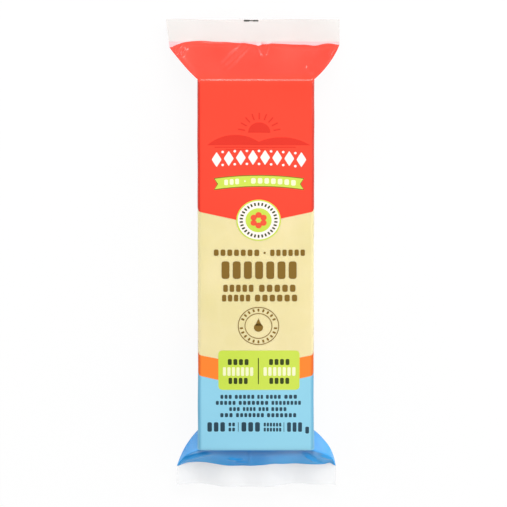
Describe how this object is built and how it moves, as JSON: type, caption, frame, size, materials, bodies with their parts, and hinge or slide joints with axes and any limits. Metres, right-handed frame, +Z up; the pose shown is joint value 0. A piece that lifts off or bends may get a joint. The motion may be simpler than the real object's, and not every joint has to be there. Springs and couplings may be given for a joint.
{
  "type": "cheddar block",
  "caption": "Rectangular bar of cheddar shut in printed flow-wrap film, lying on its back, with a flared, flat-welded film flap at each end and a clear window that shows the cheese.",
  "frame": {"origin": "middle of the pack's footprint in X and Y, on the surface that it lies on", "axes": "+Z up, the way the printed front faces; +Y along the bar towards the top of the label; +X to the right of the label"},
  "size_m": [0.0716, 0.21, 0.0235],
  "materials": {
    "cheese": "pale ivory-yellow pressed cheddar, slightly waxy under tight film",
    "clear_film": "clear glossy packing film, milky where two layers are welded",
    "red_print": "warm red ink under glossy film",
    "orange_print": "orange ink under glossy film",
    "blue_print": "pale sky-blue ink under glossy film",
    "green_print": "lime green ink under glossy film",
    "white_print": "warm white ink under glossy film",
    "brown_print": "golden brown ink under glossy film",
    "dark_print": "dark slate-green ink under glossy film"
  },
  "bodies": {
    "root": {"cheese_block": "cheese", "film_wrap": "clear_film"}
  },
  "joints": []
}
